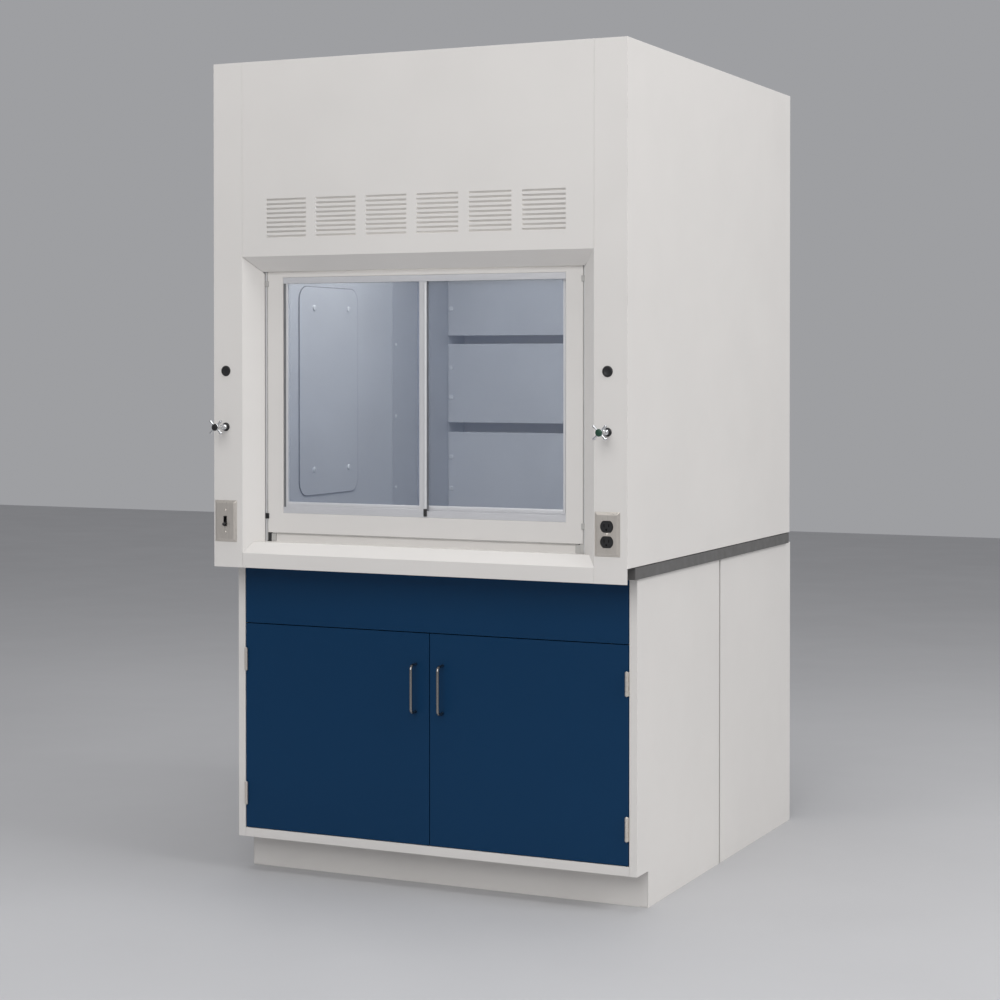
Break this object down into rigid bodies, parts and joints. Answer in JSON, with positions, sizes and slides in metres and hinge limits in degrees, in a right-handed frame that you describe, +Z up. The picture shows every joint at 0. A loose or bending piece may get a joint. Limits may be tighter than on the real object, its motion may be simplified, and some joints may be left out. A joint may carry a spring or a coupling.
{
  "type": "fume hood",
  "caption": "Bench fume hood with a vertical glass sash, horizontally sliding panes, a louvred bypass header and service fittings, standing on a flammables cabinet with hinged doors.",
  "frame": {"origin": "floor level, middle of the overall footprint, handles included", "axes": "+X to the right as the user faces the hood, +Y to the back, +Z up"},
  "size_m": [1.2192, 1.456, 2.284],
  "materials": {
    "white_paint": "warm white satin powder coat",
    "blue_paint": "dark blue satin powder coat",
    "liner": "pale grey glass-fibre lining",
    "epoxy": "dark grey cast epoxy resin",
    "aluminium": "satin anodised extrusion",
    "stainless": "brushed stainless steel",
    "chrome": "polished chrome plate",
    "dark_steel": "zinc-plated steel",
    "black_plastic": "black moulded plastic",
    "rubber": "black rubber",
    "glass": "clear laminated safety glass"
  },
  "bodies": {
    "frame": {"base_side_left": "white_paint", "base_side_right": "white_paint", "rear_panel_left": "white_paint", "rear_panel_right": "white_paint", "cabinet_floor": "white_paint", "toe_kick": "white_paint", "cabinet_back": "white_paint", "shelf": "white_paint", "apron": "blue_paint", "hinge_upper_left": "stainless", "hinge_lower_left": "stainless", "hinge_upper_right": "stainless", "hinge_lower_right": "stainless", "worktop": "epoxy", "airfoil_sill": "white_paint", "corner_post_left": "white_paint", "corner_post_right": "white_paint", "side_panel_left": "white_paint", "side_panel_right": "white_paint", "header_panel": "white_paint", "roof_panel": "white_paint", "back_panel": "white_paint", "exhaust_collar": "stainless", "liner_left": "liner", "liner_right": "liner", "access_panel_left": "liner", "access_panel_right": "liner", "ceiling_panel": "liner", "light_lens": "glass", "baffle_lower": "liner", "baffle_middle": "liner", "baffle_upper": "liner", "sash_track_left": "aluminium", "sash_track_right": "aluminium", "sash_stop_left": "rubber", "sash_stop_right": "rubber", "sash_cable_left": "dark_steel", "sash_cable_right": "dark_steel", "valve_left": "black_plastic", "valve_right": "black_plastic", "switch_plate": "stainless", "outlet_plate": "stainless", "receptacle": "black_plastic"},
    "sash": {"sash_frame": "white_paint", "sash_bottom_channel": "aluminium", "sash_top_channel": "aluminium"},
    "pane_left": {"pane_left": "glass", "pane_edge_strip": "aluminium"},
    "pane_right": {"pane_right": "glass"},
    "pulley_left": {"pulley_left": "dark_steel"},
    "pulley_right": {"pulley_right": "dark_steel"},
    "counterweight_left": {"counterweight_left": "dark_steel"},
    "counterweight_right": {"counterweight_right": "dark_steel"},
    "door_left": {"door_left": "blue_paint", "pull_left": "chrome"},
    "door_right": {"door_right": "blue_paint", "pull_right": "chrome"},
    "valve_handle_left": {"valve_handle_left": "chrome"},
    "valve_handle_right": {"valve_handle_right": "chrome"},
    "switch_toggle": {"switch_toggle": "black_plastic"}
  },
  "joints": [
    {"name": "sash_lift", "type": "slide", "parent": "frame", "child": "sash", "axis": [0, 0, 1], "range_m": [0, 0.53]},
    {"name": "pane_left_slide", "type": "slide", "parent": "sash", "child": "pane_left", "axis": [1, 0, 0], "range_m": [0, 0.4]},
    {"name": "pane_right_slide", "type": "slide", "parent": "sash", "child": "pane_right", "axis": [-1, 0, 0], "range_m": [0, 0.4]},
    {"name": "counterweight_left_slide", "type": "slide", "parent": "frame", "child": "counterweight_left", "axis": [0, 0, 1], "range_m": [-0.53, 0]},
    {"name": "counterweight_right_slide", "type": "slide", "parent": "frame", "child": "counterweight_right", "axis": [0, 0, 1], "range_m": [-0.53, 0]},
    {"name": "pulley_left_spin", "type": "hinge", "parent": "frame", "child": "pulley_left", "pos_m": [-0.518, -0.607, 2.19], "axis": [0, 1, 0], "range_deg": [-1085, 0]},
    {"name": "pulley_right_spin", "type": "hinge", "parent": "frame", "child": "pulley_right", "pos_m": [0.518, -0.607, 2.19], "axis": [0, 1, 0], "range_deg": [0, 1085]},
    {"name": "door_left_hinge", "type": "hinge", "parent": "frame", "child": "door_left", "pos_m": [-0.569, -0.5711, 0.405], "axis": [0, 0, -1], "range_deg": [0, 165]},
    {"name": "door_right_hinge", "type": "hinge", "parent": "frame", "child": "door_right", "pos_m": [0.569, -0.5711, 0.405], "axis": [0, 0, 1], "range_deg": [0, 165]},
    {"name": "valve_left_turn", "type": "hinge", "parent": "frame", "child": "valve_handle_left", "pos_m": [-0.571, -0.721, 1.241], "axis": [0, -1, 0], "range_deg": [0, 360]},
    {"name": "valve_right_turn", "type": "hinge", "parent": "frame", "child": "valve_handle_right", "pos_m": [0.556, -0.721, 1.241], "axis": [0, -1, 0], "range_deg": [0, 360]},
    {"name": "light_switch_tilt", "type": "hinge", "parent": "frame", "child": "switch_toggle", "pos_m": [-0.571, -0.664, 0.983], "axis": [-1, 0, 0], "range_deg": [0, 44]}
  ],
  "couplings": [
    {"joint": "counterweight_left_slide", "follows": "sash_lift", "ratio": -1},
    {"joint": "counterweight_right_slide", "follows": "sash_lift", "ratio": -1},
    {"joint": "pulley_left_spin", "follows": "sash_lift", "rad_per_m": -35.714},
    {"joint": "pulley_right_spin", "follows": "sash_lift", "rad_per_m": 35.714}
  ]
}
